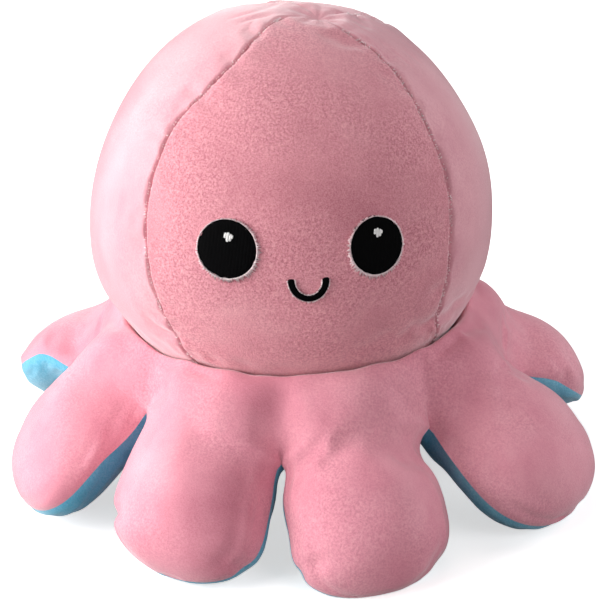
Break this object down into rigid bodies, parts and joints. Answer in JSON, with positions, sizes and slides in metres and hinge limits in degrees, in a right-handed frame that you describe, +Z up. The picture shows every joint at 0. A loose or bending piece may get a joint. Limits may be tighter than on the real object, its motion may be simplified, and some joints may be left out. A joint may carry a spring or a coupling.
{
  "type": "plush octopus",
  "caption": "Reversible plush octopus with a round stuffed head and a ring of stuffed arms, pink outside with a blue underside and a blue pocket to turn it inside out.",
  "frame": {"origin": "on the surface that the toy stands on, under the middle of the head", "axes": "+Z up through the crown of the head; the face looks along -Y; +X is the viewer's right"},
  "size_m": [0.2014, 0.2014, 0.1558],
  "materials": {
    "pink_velvet": "short-pile plush, matt",
    "blue_velvet": "short-pile plush, matt",
    "black_thread": "satin-stitch embroidery, slight sheen",
    "white_thread": "satin-stitch embroidery, slight sheen",
    "filling": "loose fibre filling, hidden"
  },
  "bodies": {
    "skirt": {"skirt_top": "pink_velvet", "skirt_underside": "blue_velvet", "skirt_filling": "filling"},
    "neck": {"neck_seam": "pink_velvet"},
    "head": {"face_panel": "pink_velvet", "right_panel": "pink_velvet", "back_panel": "pink_velvet", "left_panel": "pink_velvet", "head_filling": "filling", "left_eye": "black_thread", "left_eye_glint": "white_thread", "right_eye": "black_thread", "right_eye_glint": "white_thread", "mouth": "black_thread", "pocket_face_panel": "blue_velvet", "pocket_right_panel": "blue_velvet", "pocket_back_panel": "blue_velvet", "pocket_left_panel": "blue_velvet", "pocket_left_eye": "black_thread", "pocket_right_eye": "black_thread", "pocket_mouth": "black_thread"},
    "front_right_arm": {"front_right_arm_top": "pink_velvet", "front_right_arm_underside": "blue_velvet", "front_right_arm_filling": "filling"},
    "right_front_arm": {"right_front_arm_top": "pink_velvet", "right_front_arm_underside": "blue_velvet", "right_front_arm_filling": "filling"},
    "right_back_arm": {"right_back_arm_top": "pink_velvet", "right_back_arm_underside": "blue_velvet", "right_back_arm_filling": "filling"},
    "back_right_arm": {"back_right_arm_top": "pink_velvet", "back_right_arm_underside": "blue_velvet", "back_right_arm_filling": "filling"},
    "back_left_arm": {"back_left_arm_top": "pink_velvet", "back_left_arm_underside": "blue_velvet", "back_left_arm_filling": "filling"},
    "left_back_arm": {"left_back_arm_top": "pink_velvet", "left_back_arm_underside": "blue_velvet", "left_back_arm_filling": "filling"},
    "left_front_arm": {"left_front_arm_top": "pink_velvet", "left_front_arm_underside": "blue_velvet", "left_front_arm_filling": "filling"},
    "front_left_arm": {"front_left_arm_top": "pink_velvet", "front_left_arm_underside": "blue_velvet", "front_left_arm_filling": "filling"}
  },
  "joints": [
    {"name": "head_turn", "type": "hinge", "parent": "skirt", "child": "neck", "pos_m": [0, 0, 0.0916], "axis": [0, 0, 1], "range_deg": [-15, 15], "stiffness_Nm_per_rad": 0.3},
    {"name": "head_nod", "type": "hinge", "parent": "neck", "child": "head", "pos_m": [0, 0, 0.0916], "axis": [1, 0, 0], "range_deg": [-12, 12], "stiffness_Nm_per_rad": 0.3},
    {"name": "front_right_arm_lift", "type": "hinge", "parent": "skirt", "child": "front_right_arm", "pos_m": [0.01927, -0.06719, 0.02986], "axis": [-0.9613, -0.2756, 0], "range_deg": [-12, 40], "stiffness_Nm_per_rad": 0.3, "springref_deg": -1.09},
    {"name": "right_front_arm_lift", "type": "hinge", "parent": "skirt", "child": "right_front_arm", "pos_m": [0.06113, -0.03389, 0.02986], "axis": [-0.4848, -0.8746, 0], "range_deg": [-12, 40], "stiffness_Nm_per_rad": 0.3, "springref_deg": -1.09},
    {"name": "right_back_arm_lift", "type": "hinge", "parent": "skirt", "child": "right_back_arm", "pos_m": [0.06719, 0.01927, 0.02986], "axis": [0.2756, -0.9613, 0], "range_deg": [-12, 40], "stiffness_Nm_per_rad": 0.3, "springref_deg": -1.09},
    {"name": "back_right_arm_lift", "type": "hinge", "parent": "skirt", "child": "back_right_arm", "pos_m": [0.03389, 0.06113, 0.02986], "axis": [0.8746, -0.4848, 0], "range_deg": [-12, 40], "stiffness_Nm_per_rad": 0.3, "springref_deg": -1.09},
    {"name": "back_left_arm_lift", "type": "hinge", "parent": "skirt", "child": "back_left_arm", "pos_m": [-0.01927, 0.06719, 0.02986], "axis": [0.9613, 0.2756, 0], "range_deg": [-12, 40], "stiffness_Nm_per_rad": 0.3, "springref_deg": -1.09},
    {"name": "left_back_arm_lift", "type": "hinge", "parent": "skirt", "child": "left_back_arm", "pos_m": [-0.06113, 0.03389, 0.02986], "axis": [0.4848, 0.8746, 0], "range_deg": [-12, 40], "stiffness_Nm_per_rad": 0.3, "springref_deg": -1.09},
    {"name": "left_front_arm_lift", "type": "hinge", "parent": "skirt", "child": "left_front_arm", "pos_m": [-0.06719, -0.01927, 0.02986], "axis": [-0.2756, 0.9613, 0], "range_deg": [-12, 40], "stiffness_Nm_per_rad": 0.3, "springref_deg": -1.09},
    {"name": "front_left_arm_lift", "type": "hinge", "parent": "skirt", "child": "front_left_arm", "pos_m": [-0.03389, -0.06113, 0.02986], "axis": [-0.8746, 0.4848, 0], "range_deg": [-12, 40], "stiffness_Nm_per_rad": 0.3, "springref_deg": -1.09}
  ]
}
